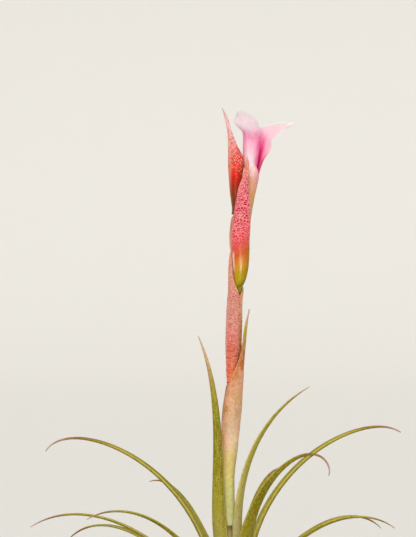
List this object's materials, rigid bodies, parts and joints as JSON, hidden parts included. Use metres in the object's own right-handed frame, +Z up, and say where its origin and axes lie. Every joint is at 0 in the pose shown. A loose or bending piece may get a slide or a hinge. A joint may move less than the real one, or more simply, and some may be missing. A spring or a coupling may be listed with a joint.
{
  "type": "tillandsia macbrideana air plant",
  "caption": "Small air plant in flower: arching silvery leaves round a tall spike with rosy bracts and a pink bloom.",
  "frame": {"origin": "middle of the flat foot of the stem, on the surface the plant stands on", "axes": "+Z up along the flower spike, the view of the picture is along +Y with +X to its right"},
  "size_m": [0.0889, 0.0907, 0.1044],
  "materials": {
    "stem": "dry fibrous plant stem",
    "leaf": "olive green blade under fine silvery scales, tip dried to brownish pink",
    "scape_bract_lower": "thin sheath, tan to pale yellow green, with silvery scales",
    "scape_bract_upper": "rosy sheath with silvery scales",
    "floral_bract": "waxy rose red, scaly above, smooth and shiny below",
    "flower_bud": "smooth waxy bud",
    "sepal": "smooth translucent tan",
    "petal": "thin soft petal, pale pink to magenta in the throat",
    "stamen": "pale yellow, powdery"
  },
  "bodies": {
    "root": {"calyx": "sepal", "corolla": "petal", "floral_bract_front": "floral_bract", "floral_bract_left": "floral_bract", "flower_bud": "flower_bud", "leaf_01": "leaf", "leaf_06": "leaf", "leaf_07": "leaf", "leaf_08": "leaf", "leaf_09": "leaf", "leaf_10": "leaf", "leaf_11": "leaf", "leaf_12": "leaf", "leaf_13": "leaf", "leaf_14": "leaf", "leaf_15": "leaf", "leaf_16": "leaf", "leaf_17": "leaf", "leaf_18": "leaf", "leaf_19": "leaf", "leaf_20": "leaf", "leaf_21": "leaf", "leaf_22": "leaf", "leaf_23": "leaf", "leaf_24": "leaf", "leaf_left_arch": "leaf", "leaf_left_erect": "leaf", "leaf_right_arch": "leaf", "leaf_right_erect": "leaf", "leaf_right_near": "leaf", "scape_bract_lower": "scape_bract_lower", "scape_bract_upper": "scape_bract_upper", "stamens": "stamen", "stem": "stem"}
  },
  "joints": []
}
